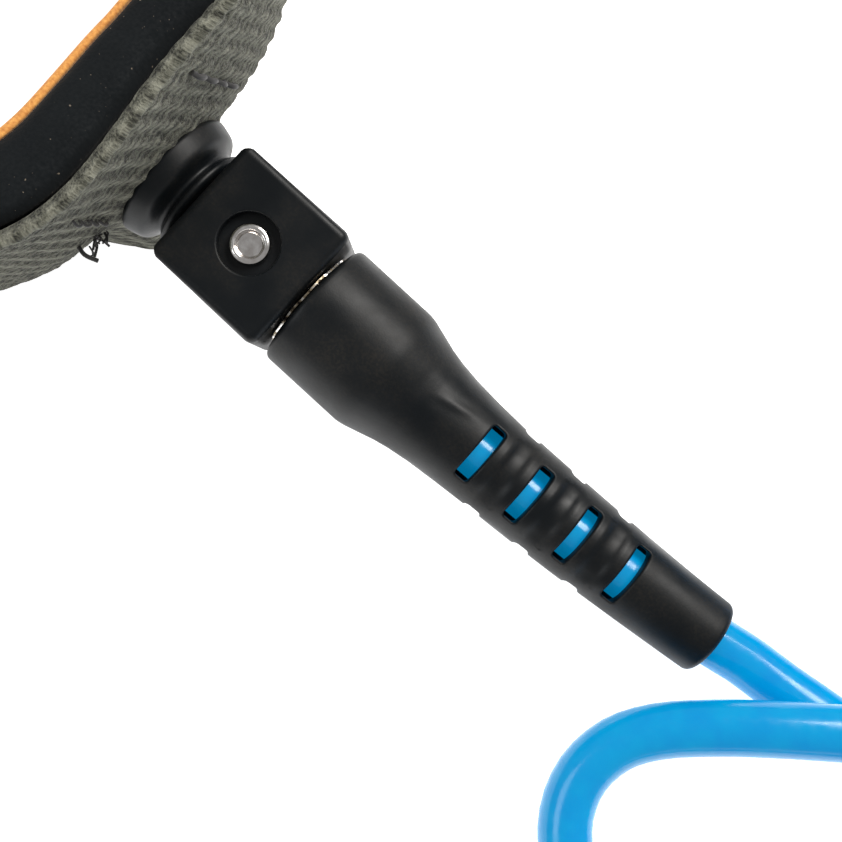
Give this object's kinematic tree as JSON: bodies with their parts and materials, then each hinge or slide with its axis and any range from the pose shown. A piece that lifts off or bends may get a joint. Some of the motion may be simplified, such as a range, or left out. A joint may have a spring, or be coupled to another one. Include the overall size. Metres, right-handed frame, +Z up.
{
  "type": "bodyboard leash",
  "caption": "Wrist leash: padded webbing cuff, swivel with slotted boot, blue urethane cord laid in a loop and coil, swivel tail with string flap.",
  "frame": {"origin": "on the ground, under the middle of the box round the cuff, its swivel and its boot", "axes": "+X along the leash away from the cuff, +Z up, +Y towards the coil and the tail"},
  "size_m": [0.2444, 0.1645, 0.05],
  "materials": {
    "rubber": "satin moulded",
    "foam": "closed-cell foam with knitted skin",
    "lining": "knitted",
    "webbing": "ribbed weave",
    "hook_and_loop": "napped",
    "steel": "polished",
    "cord": "clear tinted urethane",
    "cord_end": "clear tinted urethane"
  },
  "bodies": {
    "root": {"cuff_boot": "rubber", "cuff_stud": "steel", "cuff_cord_end": "cord_end", "leash_cord": "cord", "cord_coil": "cord", "cord_lead": "cord", "coil_tie": "hook_and_loop", "tail_boot": "rubber", "tail_stud": "steel", "tail_cord_end": "cord_end"},
    "cuff_swivel_block": {"cuff_block": "rubber", "cuff_pin": "steel", "cuff_washer": "steel"},
    "cuff": {"cuff_horn": "rubber", "cuff_webbing": "webbing", "cuff_foam": "foam", "cuff_lining": "lining", "cuff_loop_patch": "hook_and_loop", "cuff_strap_anchor": "webbing"},
    "cuff_strap": {"cuff_strap": "webbing", "cuff_hook_patch": "hook_and_loop", "cuff_pull_tab": "rubber"},
    "tail_swivel_block": {"tail_block": "rubber", "tail_pin": "steel", "tail_washer": "steel"},
    "tail": {"tail_horn": "rubber", "tail_webbing": "webbing", "tail_loop_patch": "hook_and_loop"},
    "tail_flap": {"tail_flap": "webbing", "tail_hook_patch": "hook_and_loop", "tail_pull_tab": "rubber"}
  },
  "joints": [
    {"name": "cuff_swivel", "type": "hinge", "parent": "root", "child": "cuff_swivel_block", "pos_m": [0.00575, -0.0026, 0.0218], "axis": [0.978, 0, -0.2088], "continuous": true},
    {"name": "cuff_knuckle", "type": "hinge", "parent": "cuff_swivel_block", "child": "cuff", "pos_m": [0.00575, -0.0026, 0.0218], "axis": [0.203, -0.2334, 0.9509], "range_deg": [-4, 4]},
    {"name": "cuff_strap_peel", "type": "hinge", "parent": "cuff", "child": "cuff_strap", "pos_m": [-0.08015, -0.0131, 0.025], "axis": [0, 0, 1], "range_deg": [0, 90]},
    {"name": "tail_swivel", "type": "hinge", "parent": "root", "child": "tail_swivel_block", "pos_m": [0.00075, 0.1074, 0.0109], "axis": [0.9975, 0, -0.0703], "continuous": true},
    {"name": "tail_knuckle", "type": "hinge", "parent": "tail_swivel_block", "child": "tail", "pos_m": [0.00075, 0.1074, 0.0109], "axis": [0.0703, 0, 0.9975], "range_deg": [-4, 4]},
    {"name": "tail_flap_peel", "type": "hinge", "parent": "tail", "child": "tail_flap", "pos_m": [-0.01635, 0.1074, 0.0224], "axis": [0, 1, 0], "range_deg": [0, 100]}
  ]
}
